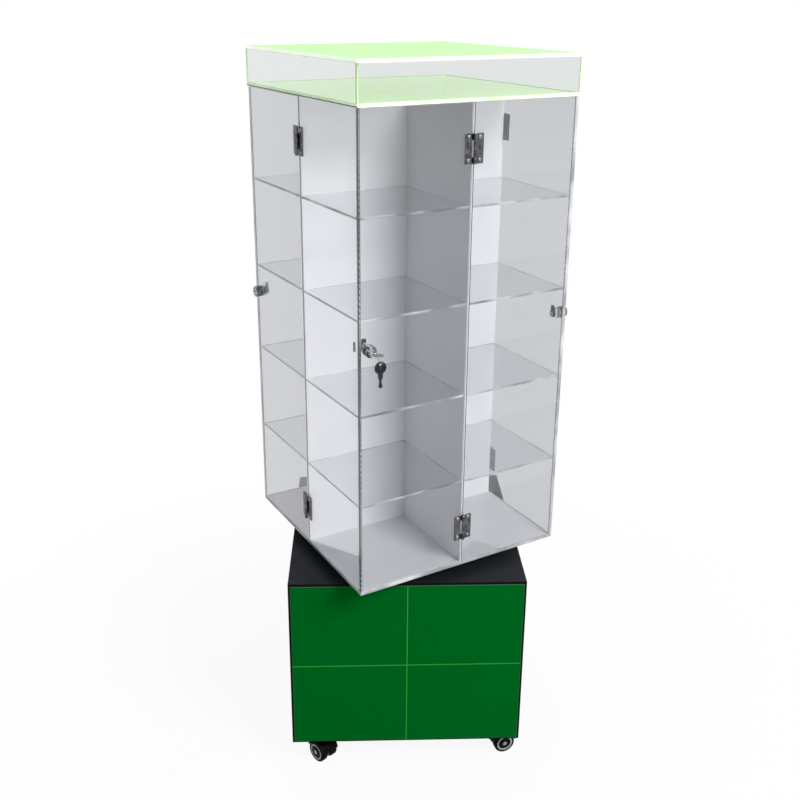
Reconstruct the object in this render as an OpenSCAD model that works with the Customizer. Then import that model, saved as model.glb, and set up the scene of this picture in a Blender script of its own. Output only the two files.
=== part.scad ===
// Revolving display tower of clear acrylic on a square base cabinet with casters.
// The origin is on the floor, on the axis that the tower turns about. +Z is up.
// The tower's faces look along the X and Y axes at rest, and the base is turned under it.

/* [Tower] */
// Width and depth of the square tower
tower_w = 400; // [320:5:600]
// Height of the tower, from under its floor to the ceiling
tower_h = 795; // [600:5:1000]
// Thickness of the clear panels and doors
glaze_t = 5; // [4:0.5:8]
// Thickness of the white floor
floor_t = 5; // [4:0.5:10]
// Thickness of the white partitions
part_t = 5; // [4:0.5:8]
// Thickness of the clear shelves
shelf_t = 4; // [3:0.5:8]
// Gap between a shelf's front edge and the door
shelf_clear = 1.5; // [1:0.5:6]

/* [Header] */
// Height of the header box, with its floor and its top plate
header_h = 66; // [50:1:120]
// How far the header stands out past the tower on each side
header_over = 2; // [0:0.5:6]
// Thickness of the green plates at the bottom and top of the header
header_plate_t = 5; // [3:0.5:8]
// Thickness of the header's clear walls
header_wall_t = 4; // [3:0.5:8]

/* [Doors] */
// Gap between a door and the fixed panel beside it
door_gap = 1; // [0.8:0.1:3]
// Gap above and below a door
door_clear = 1; // [0.5:0.1:3]
// Gap between a closed door and the end of the panel behind it
door_seat = 0.4; // [0.3:0.1:1]

/* [Hinges] */
// Height of a hinge
hinge_h = 46; // [36:1:70]
// Distance from the tower's underside up to the middle of a lower hinge
hinge_low_in = 75; // [50:1:120]
// Distance from the ceiling down to the middle of an upper hinge
hinge_high_in = 70; // [50:1:120]
// Width of one leaf, from the pin
leaf_w = 17; // [14:0.5:30]
// Thickness of a leaf
leaf_t = 1.2; // [1:0.1:2]
// Outer radius of a knuckle
knuckle_r = 3; // [2.6:0.1:4.5]
// Radius of a hinge pin
pin_r = 1.5; // [1:0.1:2]
// Height of the knuckle at each end of a hinge
end_knuckle_h = 10; // [8:0.5:12]

/* [Screws] */
// Radius of a hinge screw's head
screw_head_r = 3.1; // [2.5:0.1:3.6]
// Height of a screw's head
screw_head_h = 1.5; // [1:0.1:2.5]
// Radius of a screw's shank
screw_r = 1.4; // [1:0.1:2]

/* [Locks] */
// Distance from the tower's corner to the middle of a lock
lock_in = 16; // [14:0.5:30]
// Distance from the middle of a lock up to the shelf above it
lock_under = 44; // [30:1:60]
// Radius of a lock's head
lock_head_r = 10; // [9:0.5:12]
// Length of a lock's head, in front of the door
lock_head_h = 10; // [6:0.5:14]
// Radius of the threaded barrel
barrel_r = 7; // [6.8:0.1:8]
// Length of the barrel, behind the door's front face
barrel_h = 16; // [14:0.5:20]
// Radius of the turning plug
plug_r = 5.5; // [5:0.1:5.6]
// Radius of the ring nut behind the door
nut_r = 9; // [8.5:0.1:9.5]
// Thickness of the ring nut
nut_t = 3.5; // [2.5:0.5:5]
// Thickness of the cam
cam_t = 2; // [1.5:0.1:3]
// Width of the cam's tongue
cam_w = 8; // [6:0.5:10]
// How far the cam's tongue reaches into the panel beside the door
cam_bite = 3.5; // [2:0.5:4]

/* [Keys] */
// Thickness of a key
key_t = 2; // [1.6:0.1:2.4]
// Width of a key's blade
blade_w = 6.5; // [5:0.5:7]
// Length of a key's blade
blade_h = 19; // [16:0.5:22]
// Radius of a key's bow
bow_r = 10; // [8.5:0.5:12]
// Distance from the lock's head to the middle of the bow
bow_out = 18; // [15:0.5:24]
// Radius of the hole in a key's bow
bow_hole_r = 2.8; // [2.6:0.1:3.1]
// Width of the rim that is left outside the hole
bow_rim = 1.5; // [1.2:0.1:2]
// Length of the spare key's neck, between its bow and its blade
spare_neck_h = 8; // [4:0.5:10]
// Length of the spare key's blade
spare_blade_h = 14.5; // [12:0.5:20]
// Radius of the key ring, to the middle of its wire
ring_r = 5.5; // [5:0.1:6.5]
// Radius of the key ring's wire
wire_r = 0.7; // [0.5:0.05:0.8]

/* [Turntable] */
// Width of the two square bearing plates
plate_w = 152; // [130:1:200]
// Thickness of a bearing plate
plate_t = 1.6; // [1.2:0.1:2.5]
// Height of the whole bearing
bearing_h = 9; // [8.5:0.1:12]
// Radius of the ring of balls
race_r = 52; // [45:1:56]
// Radius of a ball
ball_r = 2.5; // [2:0.1:3]
// Number of balls
ball_n = 16; // [12:1:24]
// Radius of the disc between the bearing and the tower's floor
disc_r = 120; // [110:1:150]
// Thickness of that disc
disc_t = 8; // [8:1:20]

/* [Base] */
// Width and depth of the base cabinet
base_w = 416; // [360:1:600]
// Height of the base cabinet
base_h = 334; // [250:1:500]
// Thickness of its boards
board_t = 15; // [15:0.5:22]
// How far the base is turned under the tower, in degrees
base_turn = -28.3; // [-45:0.1:45]
// Thickness of the green front sheet
sheet_t = 2; // [1:0.1:4]
// Width of the dark border round the green front sheet
sheet_border = 4; // [2:0.5:12]
// Width of the pale stripes on the front sheet
stripe_w = 1.8; // [1:0.1:4]
// How far the stripes stand out of the sheet
stripe_t = 0.3; // [0.2:0.1:0.6]

/* [Casters] */
// Height from the floor to the underside of the base
caster_h = 57; // [57:1:80]
// Distance from the base's edges to a caster's swivel axis
caster_in = 42; // [42:1:80]
// Radius of the wheels
wheel_r = 20; // [20:0.5:23.5]
// Width of one wheel of a pair
wheel_w = 14; // [12:0.5:18]
// Thickness of the fork's middle plate between the wheels
fork_t = 7; // [6:0.5:9]
// Distance from the swivel axis back to the wheels' axle
trail = 18; // [14:0.5:20]
// Radius of the axle
axle_r = 3; // [2.5:0.1:4]
// Radius of the swivel stem
stem_r = 5; // [4:0.1:6]
// Radius of the socket that holds the stem
socket_r = 8; // [7.5:0.1:9]
// Width of a caster's square plate
caster_plate_w = 48; // [42:1:60]
// Thickness of that plate
caster_plate_t = 2.5; // [2:0.1:4]

/* [Hidden] */
$fn = 48;

// Colours
charcoal = "#222428";
front_green = "#025E1C";
stripe_green = "#2FA135";
zinc = "#B4B6B8";
steel = "#8F9296";
nickel = "#55565A";
chrome = "#D4D6D8";
white_sheet = "#E8E8EA";
clear_sheet = "#C9D2D4";
header_green = "#B9F5A5";
tyre_black = "#1B1C1E";

// Fits
shaft_fit = 0.05;
seat_fit = 0.15;
knuckle_lift = 0.4;
knuckle_gap = 0.5;
race_gap = 0.3;
glue_line = 0.1;

// Tiers: five of them, so four levels of shelf, with the locks in the third
tiers = 5;
lock_tier = 3;
side_names = ["front", "right", "back", "left"];
half_w = tower_w / 2;
base_top_z = caster_h + base_h;
tower_z = base_top_z + bearing_h + disc_t;
floor_top_z = tower_z + floor_t;
ceiling_z = tower_z + tower_h;
tier_h = (tower_h - floor_t) / tiers;
header_w = tower_w + 2 * header_over;
header_z = ceiling_z + header_plate_t;
header_wall_h = header_h - 2 * header_plate_t;
lock_z = floor_top_z + lock_tier * tier_h - shelf_t - lock_under;
lock_x = -(half_w - lock_in);
pin_y = -(knuckle_r + knuckle_lift);
leaf_start = knuckle_r + knuckle_lift;
leaf_screw_x = (leaf_start + leaf_w) / 2;
leaf_screw_edge = 1.7 * screw_head_r;
leaf_screw_z = hinge_h / 2 - leaf_screw_edge;
screw_bite = 0.75 * glaze_t;
wood_bite = 0.7 * board_t;
disc_bite = 0.7 * disc_t;
hole_past = 0.5;
hinge_base_zs = [tower_z + hinge_low_in - hinge_h / 2, ceiling_z - hinge_high_in - hinge_h / 2];

// The cam lies behind the barrel, and its tongue goes into a slot of the panel beside the door
cam_gap = 0.3;
cam_in = barrel_h + cam_gap;
cam_len = lock_in - glaze_t + cam_bite;
cam_hub_r = 0.9 * barrel_r;
cam_screw_r = 4;
cam_screw_h = 1.5;
spigot_r = 3;
slot_clear = 0.7;
slot_top = sqrt(pow(cam_len, 2) + pow(cam_w / 2, 2) - pow(lock_in - glaze_t, 2)) + slot_clear;
slot_bottom = cam_w / 2 + slot_clear;

// Keys: the first is in the front lock, and the spare hangs from its ring
keyway_clear = 0.2;
ring_lift = 0.5;
ring_ahead = 0.4;
spare_lift = 0.3;
key_stop = 0.3;
bow_hole_off = bow_r - bow_rim - bow_hole_r;
neck_w = 0.8 * bow_r;
ring_out = lock_head_h + bow_out + bow_r - bow_rim / 2 + ring_ahead;
ring_up = -(ring_r - wire_r - key_t / 2 - ring_lift);
spare_hole_up = ring_up - ring_r - (bow_hole_r - wire_r - spare_lift);
spare_bow_up = spare_hole_up - bow_hole_off;

// Bearing: half of each ball runs in each race
race_h = (bearing_h - 1) / 2 - plate_t;
race_side = 3;
race_w = 2 * (ball_r + race_side);
plate_screw_in = 10;
plate_screw_at = plate_w / 2 - plate_screw_in;

// Casters, counted anticlockwise from the front left
caster_at = base_w / 2 - caster_in;
caster_signs = [[-1, -1], [1, -1], [1, 1], [-1, 1]];
caster_turns = [312, 16, 35, 200];
caster_screw_in = 6;
caster_screw_at = caster_plate_w / 2 - caster_screw_in;
socket_top = board_t - 1;
stem_top = board_t - 3;
wheel_gap = 0.5;
wheel_out = fork_t / 2 + wheel_gap;
cap_r = 4;
cap_t = 1.5;
cap_lift = 0.1;
tread_round = 3;
rim_r = 0.72 * wheel_r;
hub_r = 0.3 * wheel_r;
dish = 1.5;
fender_gap = 1.2;
fender_t = 2.2;
fender_low = 6;
crown_gap = 0.5;
crown_r = stem_r + 5;
crown_h = 6;
neck_low = 4;
neck_side = 3;
boss_in = 3;
fork_top_z = caster_h - caster_plate_t - crown_gap;

// Places a piece on one of the tower's four faces: X runs along the face, Y into the tower
module side(i) {
    rotate([0, 0, 90 * i])
        translate([0, -half_w, 0])
            children();
}

// Places a piece on a lock's axis: Z points out of the door, Y up
module lock_at(i) {
    side(i)
        translate([lock_x, 0, lock_z])
            rotate([90, 0, 0])
                children();
}

// Places a piece in the base's own directions
module base_at() {
    rotate([0, 0, base_turn])
        children();
}

// Places a piece on a caster's swivel axis, with its wheels trailing along X
module caster_place(i) {
    base_at()
        translate([caster_signs[i][0] * caster_at, caster_signs[i][1] * caster_at, 0])
            rotate([0, 0, caster_turns[i]])
                children();
}

module block(low, high) {
    translate(low)
        cube(high - low);
}

// A tube's outline swept round Z
module tube(outer_r, inner_r, h) {
    difference() {
        cylinder(r = outer_r, h = h);
        translate([0, 0, -1])
            cylinder(r = inner_r, h = h + 2);
    }
}

// A pan head screw whose shank points down Z from its head's underside
module screw(bite) {
    translate([0, 0, -bite])
        cylinder(r = screw_r, h = bite);
    cylinder(r1 = screw_head_r, r2 = 0.7 * screw_head_r, h = screw_head_h);
}

// The hole for that screw's shank
module screw_hole(bite) {
    translate([0, 0, -bite - hole_past])
        cylinder(r = screw_r + seat_fit, h = hole_past + bite + plate_t + leaf_t + 1);
}

// Four places at the corners of a square
module corners(at) {
    for (x = [-at, at], y = [-at, at])
        translate([x, y, 0])
            children();
}

// Base cabinet
module base_top_board() {
    color(charcoal)
        base_at()
            difference() {
                translate([-base_w / 2, -base_w / 2, base_top_z - board_t])
                    cube([base_w, base_w, board_t]);
                translate([0, 0, base_top_z + plate_t])
                    corners(plate_screw_at)
                        screw_hole(wood_bite);
            }
}

module base_bottom_board() {
    color(charcoal)
        difference() {
            base_at()
                translate([-base_w / 2, -base_w / 2, caster_h])
                    cube([base_w, base_w, board_t]);
            for (i = [0:3])
                caster_place(i)
                    translate([0, 0, caster_h - 1])
                        cylinder(r = socket_r + seat_fit, h = board_t + 2);
            caster_screw_places()
                screw_hole(wood_bite);
        }
}

module base_side_board(s) {
    x = s * (base_w / 2 - board_t / 2);
    translate([x - board_t / 2, -base_w / 2, caster_h + board_t])
        cube([board_t, base_w, base_h - 2 * board_t]);
}

module base_cross_board(s) {
    y = s * (base_w / 2 - board_t / 2);
    w = base_w - 2 * (board_t + glue_line);
    translate([-w / 2, y - board_t / 2, caster_h + board_t])
        cube([w, board_t, base_h - 2 * board_t]);
}

module base_wall_boards() {
    color(charcoal)
        base_at()
            for (s = [-1, 1]) {
                base_side_board(s);
                base_cross_board(s);
            }
}

module base_front_sheet() {
    w = base_w - 2 * sheet_border;
    color(front_green)
        base_at()
            translate([-w / 2, -base_w / 2 - sheet_t, caster_h + sheet_border])
                cube([w, sheet_t, base_h - 2 * sheet_border]);
}

module base_front_cross() {
    w = base_w - 2 * sheet_border;
    h = base_h - 2 * sheet_border;
    color(stripe_green)
        base_at()
            translate([0, -base_w / 2 - sheet_t - stripe_t / 2, caster_h + base_h / 2]) {
                cube([w, stripe_t, stripe_w], center = true);
                cube([stripe_w, stripe_t, h], center = true);
            }
}

// Places of the screws in the caster plates: Z points down, out of the base
module caster_screw_places() {
    for (i = [0:3])
        base_at()
            translate([caster_signs[i][0] * caster_at, caster_signs[i][1] * caster_at, 0])
                translate([0, 0, caster_h - caster_plate_t])
                    rotate([180, 0, 0])
                        corners(caster_screw_at)
                            children();
}

module base_screws() {
    color(zinc) {
        base_at()
            translate([0, 0, base_top_z + plate_t])
                corners(plate_screw_at)
                    screw(wood_bite);
        caster_screw_places()
            screw(wood_bite);
    }
}

module caster_plates() {
    color(zinc)
        difference() {
            for (s = caster_signs)
                base_at()
                    translate([s[0] * caster_at, s[1] * caster_at, 0]) {
                        translate([0, 0, caster_h - caster_plate_t / 2])
                            cube([caster_plate_w, caster_plate_w, caster_plate_t], center = true);
                        translate([0, 0, caster_h - caster_plate_t])
                            cylinder(r = socket_r, h = caster_plate_t + socket_top);
                    }
            for (s = caster_signs)
                base_at()
                    translate([s[0] * caster_at, s[1] * caster_at, caster_h - caster_plate_t - 1])
                        cylinder(r = stem_r + shaft_fit, h = board_t + caster_plate_t + 2);
            caster_screw_places()
                screw_hole(wood_bite);
        }
}

// Half of the bearing: a square plate with a grooved ring, below the middle of the balls
module bearing_half() {
    difference() {
        union() {
            translate([-plate_w / 2, -plate_w / 2, 0])
                cube([plate_w, plate_w, plate_t]);
            tube(race_r + race_w / 2, race_r - race_w / 2, plate_t + race_h);
        }
        translate([0, 0, bearing_h / 2])
            rotate_extrude()
                translate([race_r, 0])
                    circle(r = ball_r + race_gap);
        translate([0, 0, plate_t])
            corners(plate_screw_at)
                screw_hole(wood_bite);
    }
}

module turntable_lower_plate() {
    color(zinc)
        base_at()
            translate([0, 0, base_top_z])
                bearing_half();
}

module turntable_balls() {
    color(chrome)
        base_at()
            for (i = [0:ball_n - 1])
                rotate([0, 0, 360 * i / ball_n])
                    translate([race_r, 0, base_top_z + bearing_h / 2])
                        sphere(r = ball_r);
}

// Tower
module turntable_upper_plate() {
    color(zinc)
        translate([0, 0, base_top_z + bearing_h])
            rotate([180, 0, 0])
                bearing_half();
}

module turntable_disc() {
    color(charcoal)
        difference() {
            translate([0, 0, base_top_z + bearing_h])
                cylinder(r = disc_r, h = disc_t);
            upper_plate_screw_places()
                screw_hole(disc_bite);
        }
}

module upper_plate_screw_places() {
    translate([0, 0, base_top_z + bearing_h - plate_t])
        rotate([180, 0, 0])
            corners(plate_screw_at)
                children();
}

module tower_floor() {
    color(white_sheet)
        translate([-half_w, -half_w, tower_z])
            cube([tower_w, tower_w, floor_t]);
}

module partition_long() {
    reach = half_w - glaze_t;
    color(white_sheet)
        translate([-reach, -part_t / 2, floor_top_z])
            cube([2 * reach, part_t, ceiling_z - floor_top_z]);
}

module partition_short() {
    color(white_sheet)
        for (i = [0, 2])
            side(i)
                translate([-part_t / 2, glaze_t, floor_top_z])
                    cube([part_t, half_w - glaze_t - part_t / 2, ceiling_z - floor_top_z]);
}

module fixed_panel() {
    difference() {
        translate([door_gap / 2, 0, floor_top_z])
            cube([half_w - door_gap / 2 - glaze_t - door_seat, glaze_t, ceiling_z - floor_top_z]);
        translate([half_w - cam_in - cam_t - slot_clear, -1, lock_z - slot_bottom])
            cube([cam_t + 2 * slot_clear, glaze_t + 2, slot_bottom + slot_top]);
        hinge_screw_places(1)
            screw_hole(screw_bite);
    }
}

module fixed_panels() {
    color(clear_sheet, 0.35)
        for (i = [0:3])
            side(i)
                fixed_panel();
}

module shelf_level(level) {
    top = floor_top_z + level * tier_h;
    color(clear_sheet, 0.35)
        for (i = [0:3])
            side(i)
                translate([-half_w + glaze_t, glaze_t + shelf_clear, top - shelf_t])
                    cube([half_w - glaze_t - part_t / 2,
                          half_w - glaze_t - shelf_clear - part_t / 2, shelf_t]);
}

module header_plate(z) {
    translate([-header_w / 2, -header_w / 2, z])
        cube([header_w, header_w, header_plate_t]);
}

module header_floor() {
    color(header_green, 0.6)
        header_plate(ceiling_z);
}

module header_top() {
    color(header_green, 0.8)
        header_plate(header_z + header_wall_h);
}

module header_walls() {
    color(clear_sheet, 0.35)
        for (i = [0:3])
            rotate([0, 0, 90 * i])
                translate([-header_w / 2, -header_w / 2, header_z])
                    cube([header_w - header_wall_t - glue_line, header_wall_t, header_wall_h]);
}

// Hinges: the leaf on one side of the pin, s = -1 for the door and 1 for the fixed panel
module hinge_leaf(s) {
    mid_low = end_knuckle_h + knuckle_gap;
    zones = s > 0
        ? [[mid_low, hinge_h - mid_low]]
        : [[0, end_knuckle_h], [hinge_h - end_knuckle_h, hinge_h]];
    difference() {
        union() {
            translate([s > 0 ? leaf_start : -leaf_w, -leaf_t, 0])
                cube([leaf_w - leaf_start, leaf_t, hinge_h]);
            for (z = zones) {
                translate([s > 0 ? door_gap / 2 : -leaf_start - leaf_t, -leaf_t, z[0]])
                    cube([leaf_start + leaf_t - door_gap / 2, leaf_t, z[1] - z[0]]);
                translate([0, pin_y, z[0]])
                    cylinder(r = knuckle_r, h = z[1] - z[0]);
            }
        }
        translate([0, pin_y, -1])
            cylinder(r = pin_r + shaft_fit, h = hinge_h + 2);
        for (z = [-leaf_screw_z, leaf_screw_z])
            translate([s * leaf_screw_x, 0, hinge_h / 2 + z])
                rotate([90, 0, 0])
                    screw_hole(leaf_t);
    }
}

// Places of the hinge screws on one side of the pin: Z points out of the panel
module hinge_screw_places(s) {
    for (low = hinge_base_zs, z = [-leaf_screw_z, leaf_screw_z])
        translate([s * leaf_screw_x, 0, low + hinge_h / 2 + z])
            rotate([90, 0, 0])
                children();
}

module hinge_places() {
    for (low = hinge_base_zs)
        translate([0, 0, low])
            children();
}

module hinge_fixed_leaves() {
    color(nickel)
        for (i = [0:3])
            side(i)
                hinge_places()
                    hinge_leaf(1);
}

module hinge_pins() {
    color(steel)
        for (i = [0:3])
            side(i)
                hinge_places()
                    translate([0, pin_y, 0])
                        cylinder(r = pin_r, h = hinge_h);
}

module hinge_screws(s) {
    hinge_screw_places(s)
        translate([0, 0, leaf_t])
            screw(leaf_t + screw_bite);
}

module tower_screws() {
    color(chrome) {
        for (i = [0:3])
            side(i)
                hinge_screws(1);
        upper_plate_screw_places()
            screw(disc_bite);
    }
}

// Doors
module door_panel(i) {
    color(clear_sheet, 0.35)
        side(i)
            difference() {
                translate([-half_w, 0, floor_top_z + door_clear])
                    cube([half_w - door_gap / 2, glaze_t, ceiling_z - floor_top_z - 2 * door_clear]);
                translate([lock_x, -1, lock_z])
                    rotate([-90, 0, 0])
                        cylinder(r = barrel_r + seat_fit, h = glaze_t + 2);
                hinge_screw_places(-1)
                    screw_hole(screw_bite);
            }
}

module door_leaves(i) {
    color(nickel)
        side(i)
            hinge_places()
                hinge_leaf(-1);
}

module door_fasteners(i) {
    color(chrome) {
        side(i)
            hinge_screws(-1);
        lock_at(i)
            translate([0, 0, -glaze_t - nut_t])
                tube(nut_r, barrel_r + seat_fit, nut_t);
    }
}

// Locks
module lock_housing(i) {
    rim = 1.2;
    color(chrome)
        lock_at(i)
            difference() {
                union() {
                    cylinder(r = lock_head_r, h = lock_head_h - rim);
                    translate([0, 0, lock_head_h - rim])
                        cylinder(r1 = lock_head_r, r2 = lock_head_r - rim, h = rim);
                    translate([0, 0, -barrel_h])
                        cylinder(r = barrel_r, h = barrel_h);
                }
                translate([0, 0, -barrel_h - 1])
                    cylinder(r = plug_r + shaft_fit, h = barrel_h + lock_head_h + 2);
            }
}

module lock_plug(i) {
    face = lock_head_h - 0.5;
    color(steel)
        lock_at(i)
            difference() {
                union() {
                    translate([0, 0, -cam_in])
                        cylinder(r = plug_r, h = cam_in + face);
                    translate([0, 0, -cam_in - cam_t])
                        cylinder(r = spigot_r, h = cam_t);
                    translate([0, 0, -cam_in - cam_t - cam_screw_h])
                        cylinder(r = cam_screw_r, h = cam_screw_h);
                }
                keyway(face);
            }
}

// The slot that the key's blade slides in
module keyway(face) {
    w = blade_w + 2 * keyway_clear;
    t = key_t + 2 * keyway_clear;
    depth = blade_h + 1;
    translate([-w / 2, -t / 2, lock_head_h - depth])
        cube([w, t, face - lock_head_h + depth + 1]);
}

module lock_cam(i) {
    color(nickel)
        lock_at(i)
            translate([0, 0, -cam_in - cam_t])
                difference() {
                    union() {
                        cylinder(r = cam_hub_r, h = cam_t);
                        translate([-cam_w / 2, 0, 0])
                            cube([cam_w, cam_len, cam_t]);
                    }
                    translate([0, 0, -1])
                        cylinder(r = spigot_r + shaft_fit, h = cam_t + 2);
                }
}

// A key lying flat in XY, with its bow at the origin and its blade down Y
module key_shape(neck_h, blade_len) {
    difference() {
        union() {
            cylinder(r = bow_r, h = key_t, center = true);
            translate([-neck_w / 2, -bow_r - neck_h, -key_t / 2])
                cube([neck_w, neck_h + bow_r / 2, key_t]);
            translate([-blade_w / 2, -bow_r - neck_h - blade_len, -key_t / 2])
                cube([blade_w, blade_len + neck_h, key_t]);
        }
        translate([0, bow_hole_off, 0])
            cylinder(r = bow_hole_r, h = 2 * key_t, center = true);
    }
}

module door_key() {
    neck_h = bow_out - bow_r - key_stop;
    color(chrome)
        lock_at(0)
            translate([0, 0, lock_head_h + bow_out])
                rotate([90, 0, 0])
                    key_shape(neck_h, blade_h - key_stop);
}

// The ring hangs in the hole of the first key's bow
module key_ring() {
    color(chrome)
        lock_at(0)
            translate([0, ring_up, ring_out])
                rotate([0, 90, 0])
                    rotate_extrude()
                        translate([ring_r, 0])
                            circle(r = wire_r);
}

module spare_key() {
    color(nickel)
        lock_at(0)
            translate([0, spare_bow_up, ring_out])
                key_shape(spare_neck_h, spare_blade_h);
}

// Casters
module caster_fork(i) {
    fender_r = wheel_r + fender_gap;
    half_span = wheel_out + wheel_w;
    color(tyre_black)
        caster_place(i)
            difference() {
                union() {
                    translate([trail, fork_t / 2, wheel_r])
                        rotate([90, 0, 0])
                            cylinder(r = wheel_r - boss_in, h = fork_t);
                    translate([-stem_r - neck_side, -fork_t / 2, wheel_r + neck_low])
                        cube([trail + neck_side + 1, fork_t, fork_top_z - wheel_r - neck_low]);
                    translate([0, 0, fork_top_z - crown_h])
                        cylinder(r = crown_r, h = crown_h);
                    translate([0, 0, fork_top_z - 1])
                        cylinder(r = stem_r, h = caster_h + stem_top - fork_top_z + 1);
                    fender(fender_r, half_span);
                    fender(axle_r, fork_t / 2);
                }
                translate([trail, half_span, wheel_r])
                    rotate([90, 0, 0])
                        cylinder(r = axle_r + shaft_fit, h = 2 * half_span);
            }
}

// The hood over the top of the wheels, and with a small inner radius the web between them
module fender(inner_r, half_span) {
    translate([trail, half_span, wheel_r])
        rotate([90, 0, 0])
            difference() {
                cylinder(r = wheel_r + fender_gap + fender_t, h = 2 * half_span);
                translate([0, 0, -1])
                    cylinder(r = inner_r, h = 2 * half_span + 2);
                block([-2 * wheel_r, -2 * wheel_r, -1], [2 * wheel_r, fender_low, 2 * half_span + 1]);
            }
}

// Two wheels with rounded treads and recessed faces, on one axle with a cap at each end
module caster_wheels(i) {
    color(tyre_black)
        caster_place(i)
            translate([trail, 0, wheel_r])
                rotate([90, 0, 0]) {
                    translate([0, 0, -wheel_out - wheel_w])
                        cylinder(r = axle_r, h = 2 * (wheel_out + wheel_w));
                    for (s = [0, 1])
                        mirror([0, 0, s])
                            translate([0, 0, wheel_out]) {
                                rotate_extrude()
                                    wheel_outline();
                                translate([0, 0, wheel_w])
                                    cylinder(r = cap_r, h = cap_t);
                            }
                }
}

// Half the cross-section of one wheel: X is the radius and Y runs outward along the axle
module wheel_outline() {
    bore_r = axle_r + shaft_fit;
    side_w = wheel_w - cap_lift;
    difference() {
        union() {
            translate([bore_r, 0])
                square([wheel_r - tread_round - bore_r, side_w]);
            translate([bore_r, tread_round])
                square([wheel_r - bore_r, side_w - 2 * tread_round]);
            for (y = [tread_round, side_w - tread_round])
                translate([wheel_r - tread_round, y])
                    circle(r = tread_round);
        }
        translate([hub_r, side_w - dish])
            square([rim_r - hub_r, dish + 1]);
    }
}

base_top_board();
base_bottom_board();
base_wall_boards();
base_front_sheet();
base_front_cross();
base_screws();
caster_plates();
turntable_lower_plate();
turntable_balls();
turntable_upper_plate();
turntable_disc();
tower_floor();
partition_long();
partition_short();
fixed_panels();
shelf_level(1);  // shelf_level_1
shelf_level(2);  // shelf_level_2
shelf_level(3);  // shelf_level_3
shelf_level(4);  // shelf_level_4
header_floor();
header_walls();
header_top();
hinge_fixed_leaves();
hinge_pins();
tower_screws();
for (i = [0:3]) {
    door_panel(i);
    door_leaves(i);
    door_fasteners(i);
    lock_housing(i);
    lock_plug(i);
    lock_cam(i);
}
door_key();
key_ring();
spare_key();
caster_fork(0);  // caster_fork_front_left
caster_fork(1);  // caster_fork_front_right
caster_fork(2);  // caster_fork_back_right
caster_fork(3);  // caster_fork_back_left
caster_wheels(0);  // caster_wheels_front_left
caster_wheels(1);  // caster_wheels_front_right
caster_wheels(2);  // caster_wheels_back_right
caster_wheels(3);  // caster_wheels_back_left
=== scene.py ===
import bpy
import numpy as np
from mathutils import Matrix, Vector
from mathutils.geometry import tessellate_polygon


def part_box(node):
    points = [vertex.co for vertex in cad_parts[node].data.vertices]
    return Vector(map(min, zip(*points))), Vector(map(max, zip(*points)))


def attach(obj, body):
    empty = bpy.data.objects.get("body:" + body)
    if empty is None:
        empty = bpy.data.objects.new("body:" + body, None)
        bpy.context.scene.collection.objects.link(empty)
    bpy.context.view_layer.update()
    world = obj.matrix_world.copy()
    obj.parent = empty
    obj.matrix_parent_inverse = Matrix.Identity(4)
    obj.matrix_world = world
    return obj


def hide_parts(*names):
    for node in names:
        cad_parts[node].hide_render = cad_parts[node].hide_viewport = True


# A revolving display tower of clear acrylic on a dark base cabinet with casters.
# Sizes and places are in millimetres, in the frame's own directions, until addPiece makes metres of them.

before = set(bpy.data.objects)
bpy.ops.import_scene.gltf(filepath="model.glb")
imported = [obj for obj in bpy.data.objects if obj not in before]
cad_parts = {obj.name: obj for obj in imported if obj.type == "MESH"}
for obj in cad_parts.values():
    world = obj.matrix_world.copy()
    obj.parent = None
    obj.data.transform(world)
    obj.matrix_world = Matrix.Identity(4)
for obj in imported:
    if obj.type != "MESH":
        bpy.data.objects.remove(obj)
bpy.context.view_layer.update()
scene = bpy.context.scene
mm = 0.001
sideNames = ["front", "right", "back", "left"]
cornerNames = ["front_left", "front_right", "back_right", "back_left"]
print("Frame loaded:", len(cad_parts), "nodes")


def pick(values, names):
    # The values that go by these names
    return (values[name] for name in names.split())


def boxOf(node):
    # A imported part's lowest and highest corners, in millimetres
    low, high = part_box(node)
    return np.array(low) / mm, np.array(high) / mm


# Surfaces: each shell is its points and a list of index arrays, one row to a face

def gridFaces(rows, cols, closeRows=False, closeCols=False):
    # Quads from point (r, c) to (r, c+1), (r+1, c+1) and (r+1, c) of a grid
    r, c = np.meshgrid(np.arange(rows - (not closeRows)), np.arange(cols - (not closeCols)), indexing="ij")
    nextR = (r + 1) % rows
    nextC = (c + 1) % cols
    quads = [r * cols + c, r * cols + nextC, nextR * cols + nextC, nextR * cols + c]
    return np.stack(quads, axis=-1).reshape(-1, 4)


def arc(centre, radius, start, end, count):
    # Points at the centre plus radius times (cos a, sin a), a running from start to end in degrees
    a = np.radians(np.linspace(start, end, count))
    return np.stack([centre[0] + radius * np.cos(a), centre[1] + radius * np.sin(a)], axis=1)


def circle(centre, radius, count=48, clockwise=False):
    # A whole turn of arc, the other way round where it bounds a hole
    loop = arc(centre, radius, 0, 360, count + 1)[:-1]
    return loop[::-1] if clockwise else loop


def roundedBox(low, high, radius, count=4):
    # A rectangle from low to high whose corners are quarter circles
    (x0, y0), (x1, y1), r = low, high, radius
    centres = [(x1 - r, y0 + r), (x1 - r, y1 - r), (x0 + r, y1 - r), (x0 + r, y0 + r)]
    quarters = zip(centres, (-90, 0, 90, 180))
    return np.concatenate([arc(centre, r, turn, turn + 90, count) for centre, turn in quarters])


def insetLoop(loop, distance):
    # Each point moves along the mitre of its two edges, so that each edge moves distance to its left
    ahead = np.roll(loop, -1, axis=0) - loop
    ahead /= np.linalg.norm(ahead, axis=1, keepdims=True)
    left = np.stack([-ahead[:, 1], ahead[:, 0]], axis=1)
    before = np.roll(left, 1, axis=0)
    return loop + distance * (left + before) / (1 + (left * before).sum(axis=1, keepdims=True))


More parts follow.
